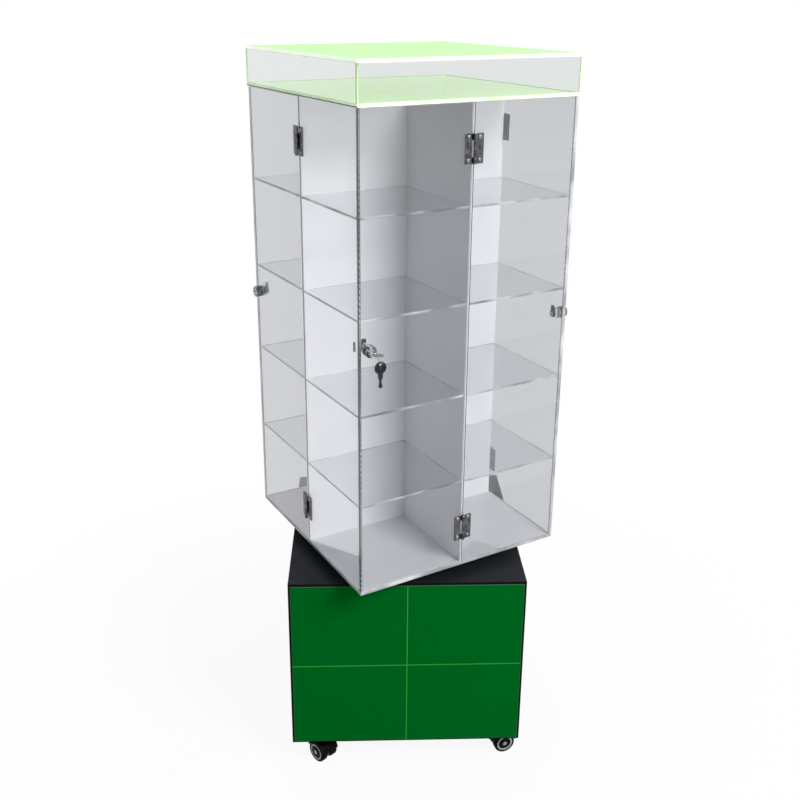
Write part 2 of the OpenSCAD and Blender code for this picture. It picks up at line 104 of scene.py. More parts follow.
def slab(outline, low, high, arris, steps=3, holes=()):
    # A sheet with rounded arrises: at the angle a, from 0 to 90 degrees, its outline lies
    # arris (1 - sin a) inside the full one and arris (1 - cos a) from the sheet's face.
    # Holes run clockwise, so that the same inset opens them towards the faces
    a = np.radians(np.linspace(0, 90, steps + 1))
    inset = arris * np.concatenate([1 - np.sin(a), 1 - np.sin(a[::-1])])
    z = np.concatenate([low + arris * (1 - np.cos(a)), high - arris * (1 - np.cos(a[::-1]))])
    points, blocks, ends, start = [], [], [[], []], 0
    for loop in (outline, *holes):
        rings = [np.column_stack([insetLoop(loop, d), np.full(len(loop), h)]) for d, h in zip(inset, z)]
        points += rings
        blocks.append(gridFaces(len(z), len(loop), closeCols=True) + start)
        ends[0].append(np.arange(len(loop)) + start)
        ends[1].append(np.arange(len(loop)) + start + len(loop) * (len(z) - 1))
        start += len(loop) * len(z)
    points = np.concatenate(points)
    for loops, top in zip(ends, (False, True)):
        if holes:
            blocks.append(capFaces(points, loops, top))
        else:
            blocks.append(loops[0][None, :] if top else loops[0][None, ::-1])
    return points, blocks


def capFaces(points, loops, top):
    # Triangles of the flat face between an outline and its holes, turned to face up or down
    index = np.concatenate(loops)
    flat = [[(*points[i, :2], 0.0) for i in loop] for loop in loops]
    triangles = index[np.array(tessellate_polygon(flat))]
    a, b, c = (points[triangles[:, k], :2] for k in range(3))
    turn = (b[:, 0] - a[:, 0]) * (c[:, 1] - a[:, 1]) - (b[:, 1] - a[:, 1]) * (c[:, 0] - a[:, 0])
    wrong = (turn > 0) != top
    triangles[wrong] = triangles[wrong][:, ::-1]
    sliver = 1e-12  # three points in a line span no face
    return triangles[np.abs(turn) > sliver]


def turned(profile, segments=48, span=(0, 360), ring=False, ripple=None):
    # A profile of radius r and height z carried round Z: (r cos a, r sin a, z).
    # ripple(r, z, a) is added to the radius, and a ring's profile joins its own start
    profile = np.array(profile, float)
    whole = span[1] - span[0] == 360
    a = np.radians(np.linspace(*span, segments, endpoint=not whole))[None, :]
    r = profile[:, :1] + 0 * a
    z = profile[:, 1:] + 0 * a
    if ripple:
        r = r + ripple(r, z, a)
    points = np.stack([r * np.cos(a), r * np.sin(a), z], axis=-1).reshape(-1, 3)
    rows = len(profile)
    blocks = [gridFaces(rows, segments, closeRows=ring, closeCols=whole)]
    if not ring:
        blocks += [np.arange(segments)[None, ::-1], np.arange(segments)[None, :] + (rows - 1) * segments]
    if not whole:
        ends = np.arange(rows) * segments
        blocks += [ends[None, :], ends[None, ::-1] + segments - 1]
    return points, blocks


def bushProfile(inner, outer, low, high, edge, count=3):
    # The section of a tube with round edges, counted so that its outer wall runs upwards
    return roundedBox((inner, low), (outer, high), edge, count)


def pinProfile(radius, low, high, edge, count=4):
    # The section of a rod whose two rims are quarter circles
    foot = arc((radius - edge, low + edge), edge, -90, 0, count)
    head = arc((radius - edge, high - edge), edge, 0, 90, count)
    return np.concatenate([foot, head])


def moved(shell, offset):
    # Every point plus the offset
    return shell[0] + np.array(offset, float), shell[1]


def turnedAbout(points, degrees):
    # (x cos t - y sin t, x sin t + y cos t, z)
    t = np.radians(degrees)
    x, y, z = points.T
    return np.column_stack([x * np.cos(t) - y * np.sin(t), x * np.sin(t) + y * np.cos(t), z])


# Colours, nodes and pieces

sharpFrom = 38  # degrees between two faces, from which their edge shows


def linear(hexColour, share=1.0):
    # sRGB hex to linear: c / 12.92 up to 0.04045, and ((c + 0.055) / 1.055) ^ 2.4 above, times a share
    c = np.array([int(hexColour[k:k + 2], 16) for k in (1, 3, 5)]) / 255
    return (*(share * np.where(c <= 0.04045, c / 12.92, ((c + 0.055) / 1.055) ** 2.4)), 1.0)


def scaleOf(size):
    # A texture's scale, in cells to a metre, from the size of one cell in millimetres
    return 1 / (size * mm)


def addNode(tree, kind, inputs=(), **settings):
    # A node with its settings, and its inputs by name or in their order: each a value, or a link where it
    # is another node's output
    made = tree.nodes.new("ShaderNode" + kind)
    for name, value in settings.items():
        setattr(made, name, value)
    for name, value in inputs.items() if isinstance(inputs, dict) else enumerate(inputs):
        if isinstance(value, bpy.types.NodeSocket):
            tree.links.new(value, made.inputs[name])
        else:
            made.inputs[name].default_value = value
    return made


def newMaterial(name, *patterns):
    # An empty material with its Object coordinates, and a noise for each cell size, detail and distortion
    material = bpy.data.materials.new(name)
    material.use_nodes = True
    material.node_tree.nodes.clear()
    tree = material.node_tree
    place = addNode(tree, "TexCoord").outputs["Object"]
    noises = [addNode(tree, "TexNoise", {
        "Vector": place, "Scale": scaleOf(size), **dict(zip(("Detail", "Distortion"), more))}).outputs["Fac"]
        for size, *more in patterns]
    return material, tree, place, *noises


def addPiece(name, shells, body, slot, *replaced):
    # One object from several shells of points, faces and finish. A finish is a material, or a pair of them:
    # one for a sheet's faces and holes, and one for its outer edge, which is its first block
    mesh = bpy.data.meshes.new(name)
    points, faces, marks, start = [], [], [], 0
    for (places, blocks), finish in shells:
        onFace, onEdge = finish if isinstance(finish, tuple) else (finish, finish)
        for k, block in enumerate(blocks):
            material = onFace if k else onEdge
            if material.name not in mesh.materials:
                mesh.materials.append(material)
            faces += (block + start).tolist()
            marks += [mesh.materials.find(material.name)] * len(block)
        points.append(places)
        start += len(places)
    mesh.from_pydata(np.concatenate(points) * mm, [], faces)
    mesh.polygons.foreach_set("material_index", marks)
    mesh.shade_smooth()
    mesh.set_sharp_from_angle(angle=np.radians(sharpFrom))
    mesh.validate()
    piece = bpy.data.objects.new(name, mesh)
    scene.collection.objects.link(piece)
    piece.modifiers.new("evenShading", "WEIGHTED_NORMAL").keep_sharp = True
    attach(piece, body)
    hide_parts(*replaced)


# Materials

acrylicIor = 1.49


def coated(material, tone, gloss, press, shine):
    # An opaque skin: a colour that a pattern mixes from two, a roughness that follows a pattern from one
    # range to another, and a relief of a height, a strength and a depth in millimetres
    tree = material.node_tree
    mixed = addNode(tree, "MixRGB", tone)
    rough = addNode(tree, "MapRange", gloss)
    bump = addNode(tree, "Bump", {"Height": press[0], "Strength": press[1], "Distance": press[2] * mm})
    shader = addNode(tree, "BsdfPrincipled", {
        "Base Color": mixed.outputs["Color"], "Roughness": rough.outputs["Result"],
        "Normal": bump.outputs["Normal"], **shine})
    addNode(tree, "OutputMaterial", {"Surface": shader.outputs[0]})
    return material


def makeLaminate(name, dark, pale, shine):
    # Melamine faced board: a dark, dull paper under resin, with a fine pressed grain
    look = dict(grain=(0.9, 3.0), cloud=(143.0, 3.0), rough=(0.39, 0.53), press=(0.25, 0.05))
    material, _, _, grain, cloud = newMaterial(name, look["grain"], look["cloud"])
    return coated(material, (cloud, linear(dark), linear(pale)), (grain, 0, 1, *look["rough"]),
                  (grain, *look["press"]), {"Specular IOR Level": shine})


def makeGlossSheet(name, colour, roughness, shine):
    # Coloured cast acrylic: an even colour under a smooth skin that is very slightly wavy
    look = dict(
        wave=(60.0, 1.0), fine=(2.5, 4.0), smoother=0.03, rougher=0.04, press=(0.08, 1.0), deeper=0.94)
    material, _, _, wave, fine = newMaterial(name, look["wave"], look["fine"])
    return coated(material, (wave, linear(colour), linear(colour, look["deeper"])),
                  (fine, 0, 1, roughness - look["smoother"], roughness + look["rougher"]),
                  (wave, *look["press"]), {"Specular IOR Level": shine})


def makeMetal(name, colour, roughness, streak, wearAndReflection):
    # Plated or polished metal, with fine polishing lines in its gloss, and darker, duller patches that are
    # partly wear from handling and partly painted dark reflections
    look = dict(patch=(6.0, 3.0), wearAndReflectionMask=(0.38, 0.62), grainSize=0.4, grainDetail=2.0,
                stretch=(1.0, 1.0, 0.06), press=(0.1, 0.02), mixed=(0.5, 1.5))
    material, tree, place, patch = newMaterial(name, look["patch"])
    lines = addNode(tree, "Mapping", {"Vector": place, "Scale": look["stretch"]})
    grain = addNode(tree, "TexNoise", {
        "Vector": lines.outputs[0], "Scale": scaleOf(look["grainSize"]), "Detail": look["grainDetail"]})
    both = addNode(tree, "Math", (grain.outputs["Fac"], patch), operation="ADD")
    # The patches' colour falls by the last argument: partly wear, partly painted dark reflections
    wearAndReflectionMask = addNode(tree, "MapRange", (patch, *look["wearAndReflectionMask"]))
    return coated(material, (wearAndReflectionMask.outputs["Result"], linear(colour), linear(colour, 1 - wearAndReflection)),
                  (both.outputs[0], *look["mixed"], roughness - streak, roughness + streak),
                  (grain.outputs["Fac"], *look["press"]), {"Metallic": 1.0})


def makeMoulded(name, colour, roughness, grainSize, shine):
    # Moulded plastic or rubber: a fine spark-eroded texture from the mould, and slight cloudiness
    look = dict(cloud=(12.0, 3.0), deeper=0.72, spread=0.08, press=(0.2, 0.05))
    material, tree, place, cloud = newMaterial(name, look["cloud"])
    grain = addNode(tree, "TexVoronoi", {"Vector": place, "Scale": scaleOf(grainSize)})
    return coated(material, (cloud, linear(colour), linear(colour, look["deeper"])),
                  (cloud, 0, 1, roughness - look["spread"], roughness + look["spread"]),
                  (grain.outputs["Distance"], *look["press"]), {"Specular IOR Level": shine})


def makeClearSheet(name, tint, passed, roughness=0.0, body=0.0, shine=0.5, glow=0.0):
    # Cast acrylic sheet, polished: it bends and mirrors like glass, lets lamps through, and is a little
    # duller where it has been wiped
    look = dict(wipes=(90.0, 2.0, 0.6), wiped=(0.45, 0.75), duller=0.02)
    material, tree, _, wipes = newMaterial(name, look["wipes"])
    rough = addNode(tree, "MapRange", (wipes, *look["wiped"], roughness, roughness + look["duller"]))
    # glow is painted light: an emission in the sheet's tint, for the light a fluorescent sheet gathers
    shader = addNode(tree, "BsdfPrincipled", {
        "Base Color": linear(tint), "Transmission Weight": 1.0 - body, "IOR": acrylicIor,
        "Roughness": rough.outputs["Result"], "Specular IOR Level": shine,
        "Emission Color": linear(tint), "Emission Strength": glow})
    path = addNode(tree, "LightPath").outputs
    soft = addNode(tree, "Math", (path["Is Shadow Ray"], path["Is Diffuse Ray"]), operation="MAXIMUM")
    through = addNode(tree, "BsdfTransparent", {"Color": linear(passed)})
    mix = addNode(tree, "MixShader", (soft.outputs[0], shader.outputs[0], through.outputs[0]))
    addNode(tree, "OutputMaterial", {"Surface": mix.outputs[0]})
    return material


def makeSheetEdge(name, dark, pale, bright, clear=0.3, glow=0.0, shades=()):
    # Sawn and polished edge of a clear sheet: light travels along the sheet and leaves here, so it is paler
    # than the faces; that paleness and the glow are painted light, an emission for the light the sheet
    # gathers.
    # Its duller and brighter lengths are partly the polish and partly painted shade and highlights. Each of
    # its shades is a tint, the glow there, and the ranges of measures over which it comes up, the last
    # number being how much of it
    look = dict(length=(55.0, 2.5), steps=(0.36, 0.5, 0.66), roughness=0.18, sawPitch=9.5, sawBend=0.5,
                waveTurns=1.5915, thin=(110.0, 0.0))
    material, tree, place, lengths, thin = newMaterial(name, look["length"], look["thin"])
    tone = addNode(tree, "ValToRGB", {"Fac": lengths})
    ramp = tone.color_ramp.elements
    ramp[0].position, ramp[1].position = look["steps"][0], look["steps"][2]
    ramp[0].color, ramp[1].color = linear(dark), linear(bright)
    ramp.new(look["steps"][1]).color = linear(pale)
    colour, light = tone.outputs["Color"], glow

    # What a shade can follow: places in metres, the ways that the surface faces, and the marks of a saw's
    # teeth, which a slanting wave draws where the polish is thin
    spot = addNode(tree, "SeparateXYZ", {"Vector": place}).outputs
    facing = addNode(tree, "SeparateXYZ", {"Vector": addNode(tree, "NewGeometry").outputs["Normal"]}).outputs
    teeth = addNode(tree, "TexWave", {
        "Vector": place, "Scale": scaleOf(look["waveTurns"] * look["sawPitch"]),
        "Distortion": look["sawBend"]}, wave_type="BANDS", bands_direction="DIAGONAL")
    measures = {"height": spot["Z"], "facingX": facing["X"]}
    for measure, operation, first, second in (
            ("fromX", "ABSOLUTE", spot["X"], 0.0), ("fromY", "ABSOLUTE", spot["Y"], 0.0),
            ("nearer", "MINIMUM", "fromX", "fromY"), ("farther", "MAXIMUM", "fromX", "fromY"),
            ("corner", "ADD", spot["X"], spot["Y"]), ("level", "ABSOLUTE", facing["Z"], 0.0),
            ("sawn", "MULTIPLY", teeth.outputs["Fac"], thin)):
        values = [measures[v] if isinstance(v, str) else v for v in (first, second)]
        measures[measure] = addNode(tree, "Math", values, operation=operation).outputs[0]

    for tint, glowThere, ranges in shades:
        mask = 1.0
        for measure, start, stop, strength in ranges:
            unit = mm if measure in ("nearer", "farther", "corner", "height") else 1
            band = addNode(tree, "MapRange", (measures[measure], start * unit, stop * unit, 0.0, strength))
            mask = addNode(tree, "Math", (band.outputs[0], mask), operation="MULTIPLY").outputs[0]
        colour = addNode(tree, "MixRGB", (mask, colour, linear(tint))).outputs[0]
        if glow or glowThere:
            light = addNode(tree, "MapRange", (mask, 0.0, 1.0, light, glowThere)).outputs[0]
    shader = addNode(tree, "BsdfPrincipled", {
        "Base Color": colour, "Roughness": look["roughness"], "IOR": acrylicIor,
        "Transmission Weight": clear, "Emission Color": linear(pale), "Emission Strength": light})
    addNode(tree, "OutputMaterial", {"Surface": shader.outputs[0]})
    return material


laminate = makeLaminate("charcoalMelamineLaminate", "#15171A", "#1D1F23", 0.1)
blackBand = makeLaminate("blackEdgeBanding", "#08090A", "#0F1012", 0.04)
frontGreen = makeGlossSheet("darkGreenAcrylic", "#005C1C", 0.34, 0.0)
greenEdge = makeGlossSheet("sawnDarkGreenEdge", "#3A5A42", 0.4, 0.2)
stripeGreen = makeGlossSheet("brightGreenInlay", "#24912E", 0.35, 0.1)
# Partitions and floor are one white acrylic: the short partitions' and the floor's greyer copies are painted
# shade
longAcrylic = makeGlossSheet("opalWhiteAcrylic", "#F5F6F8", 0.28, 0.4)
shortAcrylic = makeGlossSheet("opalWhiteAcrylicPaintedShade", "#DFE0E4", 0.28, 0.4)
floorAcrylic = makeGlossSheet("opalWhiteAcrylicPaintedFloorShade", "#CECFD2", 0.28, 0.3)
clearAcrylic = makeClearSheet("clearCastAcrylic", "#E0E1E3", "#F6F6F7")
shelfAcrylic = makeClearSheet("clearShelfAcrylic", "#E8E9EB", "#F9F9FA")
headerAcrylic = makeClearSheet("thinClearAcrylic", "#EFF1F1", "#FAFBFC")
greenTop = makeClearSheet(
    "fluorescentGreenAcrylic", "#BAEFA2", "#E3E4E3", roughness=0.35, body=0.92, shine=0.03)
# Its glow is painted light, an emission for the light the fluorescent sheet gathers
greenFloor = makeClearSheet(
    "paleGreenAcrylic", "#C9F4A4", "#E3E4E3", roughness=0.12, body=0.65, shine=0.12, glow=0.14)
shelfEdge = makeSheetEdge("polishedShelfEdge", "#7C7F84", "#C2C5C9", "#FAFBFC")
doorEdge = makeSheetEdge("polishedDoorEdge", "#9FA2A7", "#C4C7CB", "#E4E6E9", shades=[
    ("#2E3034", 0.0, [("nearer", 195.8, 196.6, 0.92), ("corner", -200, -300, 1.0)]),  # painted shade: a dark line along the outer arris, only at the front-left corner, for refraction and shade there
    ("#FAFBFC", 0.5, [("nearer", 2.4, 1.2, 0.95)])])  # painted highlight and glow where it meets the panel, lifting the shade of the narrow gap
sawnEdge = makeSheetEdge("sawnPanelEdge", "#8C8F94", "#C0C3C7", "#EDEEF0", shades=[
    ("#4A4C50", 0.0, [("sawn", 0.40, 0.47, 1.0)]),
    ("#5C5E62", 0.0, [("farther", 196.6, 195.8, 0.8)]),  # a thin painted shade along the inner arris, standing in for refraction
    ("#5A5C60", 0.0, [("nearer", 2.4, 1.2, 0.95)])])  # painted shade where it meets the door, in the narrow gap between them
# The glowing edges are painted light: an emission for the light the fluorescent sheets let out there
topEdge = makeSheetEdge("fluorescentWhiteEdge", "#E6F8DC", "#F6FFF0", "#FFFFFF", clear=0.1, glow=0.4)
footLine = boxOf("header_floor")[0][2] + 1.8  # below it, the edge that faces left gets painted shade
floorEdge = makeSheetEdge("paleGreenEdge", "#CDEFBA", "#E6FDD9", "#F8FFF2", clear=0.1, glow=0.14, shades=[
    ("#3E4C37", 0.0, [("facingX", -0.4, -0.7, 1.0), ("height", footLine + 0.4, footLine, 1.0)])])
wallEdge = makeSheetEdge("limeWallEdge", "#B9DEA0", "#CDEFB4", "#E2FBD0", clear=0.2, glow=0.16, shades=[
    ("#D3D8D2", 0.0, [("level", 0.5, 0.8, 1.0)])])  # level edges lie against a sheet, and let no light out
frostedEdge = makeSheetEdge("satinWhiteEdge", "#85878B", "#9EA0A4", "#BDBFC3", clear=0.0)
# The last number darkens patches that are partly wear and partly painted dark reflections
nickel = makeMetal("darkNickelPlate", "#6C6D70", 0.32, 0.14, 0.6)
blackNickel = makeMetal("blackNickelPlate", "#48494C", 0.26, 0.1, 0.65)
chrome = makeMetal("brightChrome", "#BBBCBE", 0.12, 0.05, 0.2)
wornChromePaintedReflections = makeMetal("handledChromePaintedReflections", "#97989B", 0.14, 0.06, 0.65)
zinc = makeMetal("zincPlate", "#989A9D", 0.32, 0.12, 0.35)
bearingSteel = makeMetal("polishedBearingSteel", "#A9ABAE", 0.16, 0.05, 0.1)
nylon = makeMoulded("blackNylon", "#060707", 0.36, 0.5, 0.05)
tyre = makeMoulded("blackPolyurethaneTyre", "#040404", 0.5, 0.8, 0.03)
greyRim = makeMoulded("greyPolypropylene", "#9A9B9E", 0.42, 0.6, 0.3)
print("Materials ready:", len(bpy.data.materials))


# Tower

doorLow, doorHigh = boxOf("door_panel_front")
tower = dict(
    half=-doorLow[0], glaze=doorHigh[1] - doorLow[1], doorGap=-2 * doorHigh[0],
    floorTop=boxOf("tower_floor")[1][2], ceiling=boxOf("header_floor")[0][2],
    partition=boxOf("partition_long")[1][1], arris=0.4, clear=0.1, sheetCorner=0.6, panelFit=0.4,
    floorArris=0.5, partitionArris=0.3, partitionFit=0.05, shelfArris=0.35, shelfBack=1.5)
cornerShare = 1.3  # a sheet's corners are this much rounder than its arrises


def onSide(shell, i):
    # From a face's own directions, x along it and y into the tower, to the side numbered i
    places, faces = moved(shell, (0, -tower["half"], 0))
    return turnedAbout(places, 90 * i), faces


def addAround(name, shells, finish, slot, node, sides=range(4)):
    # The same shells on each side of the tower
    addPiece(name, [(onSide(shell, i), finish) for i in sides for shell in shells], "tower", slot, node)


def upright(shell):
    # Stands a flat sheet up on a face: (x, y, z) becomes (x, -z, y)
    x, y, z = shell[0].T
    return np.column_stack([x, -z, y]), shell[1]


def block(low, high, arris):
    # A board or sheet with every edge rounded
    return slab(roundedBox(low[:2], high[:2], cornerShare * arris), low[2], high[2], arris)


lockLow, lockHigh = boxOf("lock_housing_front")
lock = dict(
    x=(lockLow[0] + lockHigh[0]) / 2, z=(lockLow[2] + lockHigh[2]) / 2,
    headRadius=(lockHigh[0] - lockLow[0]) / 2, headLength=-tower["half"] - lockLow[1],
    barrelLength=lockHigh[1] + tower["half"], barrelRadius=7.0, holeRadius=7.15, plugRadius=5.5,
    plugBack=16.3, nutRadius=9.0, nutThick=3.5, camThick=2.0, camWidth=8.0, camReach=14.5, camHub=6.3,
    camCorner=1.8, camHole=3.05, camArris=0.25, slotClear=0.7, slotTop=10.96, slotBottom=4.7,
    slotCorner=0.5, plugSplit=-8.9, plugIn=0.5, plugArris=0.35, plugEdge=0.3, tail=3.0, tailEnd=1.9,
    capScale=1.28, keyway=(6.9, 2.4), boreFit=0.05, rimRound=1.4, headFoot=0.5, seat=0.05, dish=0.6,
    dishWide=1.6, dishEdge=0.5, dishIn=0.2, lip=0.8, notches=36, notchDepth=0.35, nutEdge=0.5,
    threadPitch=1.2, threadDepth=0.35, threadStep=0.15, barrelEdge=0.5, barrelTop=0.3)


def makeTowerSheets():
    # Flat sheets with rounded arrises, turned from the first side to the others
    half, glaze, clear, corner, edge = pick(tower, "half glaze clear sheetCorner partitionArris")
    foot, ceiling, thick, fit = pick(tower, "floorTop ceiling partition partitionFit")
    floor = block(*boxOf("tower_floor"), tower["floorArris"])
    addPiece("towerFloor", [(floor, (floorAcrylic, frostedEdge))], "tower", "white_acrylic", "tower_floor")

    low, high = boxOf("partition_long")
    long = block((low[0] + fit, *low[1:]), (high[0] - fit, *high[1:]), edge)
    addPiece("longPartition", [(long, longAcrylic)], "tower", "white_acrylic", "partition_long")
    short = block((-thick, glaze + fit, foot), (thick, half - thick, ceiling), edge)
    addAround("shortPartitions", [short], shortAcrylic, "white_acrylic", "partition_short", (0, 2))

    x, z, play = half - lock["plugBack"], lock["z"], lock["slotClear"]
    low, high = (x - lock["camThick"] - play, z - lock["slotBottom"]), (x + play, z + lock["slotTop"])
    slot = roundedBox(low, high, lock["slotCorner"])
    low, high = (tower["doorGap"] / 2, foot + clear), (half - glaze - tower["panelFit"], ceiling - clear)
    outline = roundedBox(low, high, corner)
    panel = upright(slab(outline, -glaze, 0, tower["arris"], holes=[slot[::-1]]))
    addAround("fixedPanels", [panel], (clearAcrylic, sawnEdge), "clear_acrylic", "fixed_panels")

    for level in range(1, 5):
        node = f"shelf_level_{level}"
        low, high = boxOf(node)
        shelf = block((-half + glaze + clear, glaze + tower["shelfBack"], low[2]),
                      (-thick - clear, half - thick - clear, high[2]), tower["shelfArris"])
        addAround(f"shelfLevel{level}", [shelf], (shelfAcrylic, shelfEdge), "clear_acrylic", node)


header = dict(arris=0.5, wallThick=4.0, wallJoint=0.1, wallCorner=0.5)


def makeHeader():
    # Two level sheets, and one wall that a quarter turn carries to each next side
    for name, node, finish in (("headerFloor", "header_floor", (greenFloor, floorEdge)),
                               ("headerTop", "header_top", (greenTop, topEdge))):
        addPiece(name, [(block(*boxOf(node), header["arris"]), finish)], "tower", "green_acrylic", node)
    low, high = boxOf("header_walls")
    thick, joint, corner = pick(header, "wallThick wallJoint wallCorner")
    outline = roundedBox((low[0], low[2] + joint), (high[0] - thick - joint, high[2] - joint), corner)
    wall, faces = upright(slab(outline, -low[1] - thick, -low[1], tower["arris"]))
    walls = [((turnedAbout(wall, 90 * i), faces), (headerAcrylic, wallEdge)) for i in range(4)]
    addPiece("headerWalls", walls, "tower", "clear_acrylic", "header_walls")


# Hinges, with their screws

pinsLow, pinsHigh = boxOf("hinge_pins")
hinge = dict(
    height=46.0, leafWidth=17.0, leafStart=3.4, cutBack=5.1, leafThick=1.2, knuckle=3.0, pinRadius=1.5,
    bore=1.55, endKnuckle=10.0, knuckleGap=0.5, knuckleEdge=0.35, screwX=10.2, screwZ=17.73, corner=1.6,
    cutSlope=0.6, leafFace=0.05, leafArris=0.15, webStart=0.5, webLap=1.5, webIn=0.02, webCorner=0.25,
    webArris=0.2, pinEdge=0.4, pinY=-3.4)
hinge["lows"] = (pinsLow[2], pinsHigh[2] - hinge["height"])
screw = dict(
    head=3.1, headHeight=1.5, headFall=0.55, middle=0.12, shank=1.4, bite=3.75, threadPitch=0.9,
    threadDepth=0.28, threadStep=0.15, recess=0.9, armHalf=0.42, armDraft=0.15, armReach=1.9,
    endDraft=0.25, turns=(25, 47, 31))
plateScrew = dict(at=66.0, z=boxOf("turntable_disc")[0][2] - 1.6, bite=5.6)


def threaded(values, low, high, least=0.0):
    # A thread as turned's ripple: the radius falls by a raised cosine of z / pitch less the turn, between
    # two heights and beyond a least radius
    def ripple(radius, z, a):
        wave = 0.5 + 0.5 * np.cos(2 * np.pi * z / values["threadPitch"] - a)
        return -values["threadDepth"] * wave * ((z > low) & (z < high) & (radius > least))

    return ripple


def panScrew(bite):
    # A pan head on a threaded shank, Z out of the head. The head's top falls as the fourth power of the
    # radius, and a cross is pressed into it
    head, shank, rise = pick(screw, "head shank headHeight")
    r = np.linspace(head, screw["middle"], 15)
    top = rise * (1 - screw["headFall"] * (r / head) ** 4)
    z = np.arange(-bite + 0.6, 0, screw["threadStep"])
    profile = np.concatenate([
        [(0.2, -bite), (0.8, -bite + 0.3)], np.column_stack([np.full(len(z), shank), z]),
        [(head - 0.15, 0.0), (head, 0.12)], np.column_stack([r, top])])
    places, faces = turned(profile, 40, ripple=threaded(screw, -bite + 0.5, -0.2))
    x, y, z = places.T
    across = np.clip((np.minimum(abs(x), abs(y)) - screw["armHalf"]) / screw["armDraft"], 0, 1)
    reach = np.clip((np.hypot(x, y) - screw["armReach"]) / screw["endDraft"] + 1, 0, 1)
    z = z - screw["recess"] * (z > 0.3) * (1 - across) * (1 - reach)
    return np.column_stack([x, y, z]), faces


def hingeScrews(side):
    # The four screws of one side of a face's hinges, in the face's directions, each driven to its own turn
    places, faces = moved(panScrew(screw["bite"] + hinge["leafThick"]), (0, 0, hinge["leafThick"]))
    first, second, other = screw["turns"]
    made = []
    for low in hinge["lows"]:
        for k, z in enumerate((-hinge["screwZ"], hinge["screwZ"])):
            driven = turnedAbout(places, first + second * k + other * (side > 0))
            at = (side * hinge["screwX"], low + hinge["height"] / 2 + z, 0)
            made.append(upright(moved((driven, faces), at)))
    return made


def hingeLeaf(side):
    # A rolled leaf: a flat plate, a web at each knuckle and the knuckles, tubes round the pin
    height, start, cut, end = pick(hinge, "height leafStart cutBack leafWidth")
    thick, corner, slope, face = pick(hinge, "leafThick corner cutSlope leafFace")
    middle = hinge["endKnuckle"] + hinge["knuckleGap"]
    free = height - middle
    far = np.concatenate([arc((end - corner, corner), corner, -90, 0, 4),
                          arc((end - corner, height - corner), corner, 0, 90, 4)])
    if side > 0:  # cut back along the other leaf's two end knuckles
        spans, outer, inner = [(middle, free)], cut, start
    else:  # cut back along the other leaf's middle knuckle
        spans, outer, inner = [(0, hinge["endKnuckle"]), (height - hinge["endKnuckle"], height)], start, cut
    near = [(outer, height), (outer, free), (inner, free - slope), (inner, middle + slope), (outer, middle),
            (outer, 0)]
    outline = np.concatenate([far, near])[::side] * (side, 1)
    made = [upright(slab(outline, face, thick, hinge["leafArris"]))]
    for low, high in spans:
        a, b = sorted((side * hinge["webStart"], side * (start + hinge["webLap"])))
        web = roundedBox((a, low + hinge["webIn"]), (b, high - hinge["webIn"]), hinge["webCorner"])
        made.append(upright(slab(web, face, thick, hinge["webArris"])))
        tube = bushProfile(hinge["bore"], hinge["knuckle"], low, high, hinge["knuckleEdge"])
        made.append(moved(turned(tube, 40, ring=True), (0, hinge["pinY"], 0)))
    return [moved(shell, (0, 0, z)) for shell in made for z in hinge["lows"]]


def makeFixedHinges():
    # One side's leaves, pins and screws for all four, and the bearing's screws
    addAround("fixedHingeLeaves", hingeLeaf(1), nickel, "nickel", "hinge_fixed_leaves")
    pin = turned(pinProfile(hinge["pinRadius"], 0, hinge["height"], hinge["pinEdge"]), 32)
    pins = [moved(pin, (0, hinge["pinY"], low)) for low in hinge["lows"]]
    addAround("hingePins", pins, bearingSteel, "nickel", "hinge_pins")
    screws = [(onSide(shell, i), zinc) for i in range(4) for shell in hingeScrews(1)]
    places, faces = panScrew(plateScrew["bite"])
    under = (places * (1, -1, -1), faces)
    at = (-plateScrew["at"], plateScrew["at"])
    screws += [(moved(under, (x, y, plateScrew["z"])), zinc) for x in at for y in at]
    addPiece("towerScrews", screws, "tower", "chrome", "tower_screws")


# Locks: in a lock's own directions Z points out of the door and Y up

def atLock(shell):
    # From a lock's own directions to its face's: (x, y, z) becomes (lock x + x, -z, lock z + y)
    return moved(upright(shell), (lock["x"], 0, lock["z"]))


def lockHousing():
    # A round head with a rolled rim and a shallow dish, and a threaded barrel behind the door
    head, top, rim, foot, seat, lip = pick(lock, "headRadius headLength rimRound headFoot seat lip")
    bore, barrel, back = lock["plugRadius"] + lock["boreFit"], lock["barrelRadius"], -lock["barrelLength"]
    edge, end, wide, slope, flat = pick(lock, "barrelEdge barrelTop dishWide dishEdge dishIn")
    z = np.arange(back + edge, -end, lock["threadStep"])
    sleeve = np.concatenate([[(bore, back), (barrel - edge, back)],
                             np.column_stack([np.full(len(z), barrel), z]), [(barrel, end), (bore, end)]])
    low = top - lock["dish"]
    cup = np.concatenate([
        [(bore, seat), (head - foot, seat), (head, seat + foot), (head, top - rim - lip)],
        arc((head - rim, top - rim), rim, 0, 90, 7),
        [(bore + wide, top), (bore + wide - slope, low), (bore + flat, low), (bore, top - lip)]])
    thread = threaded(lock, back - 1, -0.4, barrel - 0.1)
    return [(turned(cup, 56, ring=True), wornChromePaintedReflections), (turned(sleeve, 56, ring=True, ripple=thread), chrome)]


